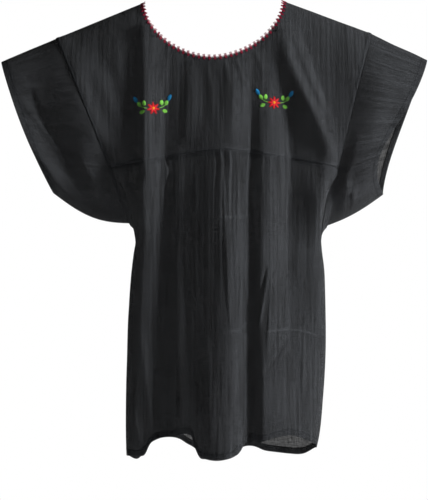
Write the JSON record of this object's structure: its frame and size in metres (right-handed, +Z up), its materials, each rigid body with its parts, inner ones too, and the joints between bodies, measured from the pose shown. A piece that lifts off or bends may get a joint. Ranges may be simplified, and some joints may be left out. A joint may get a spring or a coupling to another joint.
{
  "type": "embroidered peasant blouse",
  "caption": "Hollow pullover blouse with a scooped neck, yokes, gathered skirt panels, wide short sleeves, underarm gussets and embroidered sprays.",
  "frame": {"origin": "on the shoulder line, midway between the two ends of the neckline, where the wearer's shoulders hold the blouse up", "axes": "+Z up, the back of the blouse faces -Y and its front +Y, +X is the wearer's right"},
  "size_m": [0.6798, 0.2283, 0.7422],
  "materials": {
    "black_cotton": "matte thin cotton gauze",
    "red_thread": "cotton thread",
    "flower_red_floss": "satin stitch",
    "leaf_green_floss": "satin stitch",
    "bud_blue_floss": "satin stitch"
  },
  "bodies": {
    "root": {"back_yoke": "black_cotton", "front_yoke": "black_cotton", "back_skirt": "black_cotton", "front_skirt": "black_cotton", "sleeve_left": "black_cotton", "sleeve_right": "black_cotton", "gusset_left": "black_cotton", "gusset_right": "black_cotton", "neck_edging": "red_thread", "sprig_left_flower": "flower_red_floss", "sprig_left_stem_a": "leaf_green_floss", "sprig_left_leaf_inner_a": "leaf_green_floss", "sprig_left_leaf_outer_a": "leaf_green_floss", "sprig_left_leaf_lower_a": "leaf_green_floss", "sprig_left_bud_a": "bud_blue_floss", "sprig_left_stem_b": "leaf_green_floss", "sprig_left_leaf_inner_b": "leaf_green_floss", "sprig_left_leaf_outer_b": "leaf_green_floss", "sprig_left_leaf_lower_b": "leaf_green_floss", "sprig_left_bud_b": "bud_blue_floss", "sprig_right_flower": "flower_red_floss", "sprig_right_stem_a": "leaf_green_floss", "sprig_right_leaf_inner_a": "leaf_green_floss", "sprig_right_leaf_outer_a": "leaf_green_floss", "sprig_right_leaf_lower_a": "leaf_green_floss", "sprig_right_bud_a": "bud_blue_floss", "sprig_right_stem_b": "leaf_green_floss", "sprig_right_leaf_inner_b": "leaf_green_floss", "sprig_right_leaf_outer_b": "leaf_green_floss", "sprig_right_leaf_lower_b": "leaf_green_floss", "sprig_right_bud_b": "bud_blue_floss"}
  },
  "joints": []
}
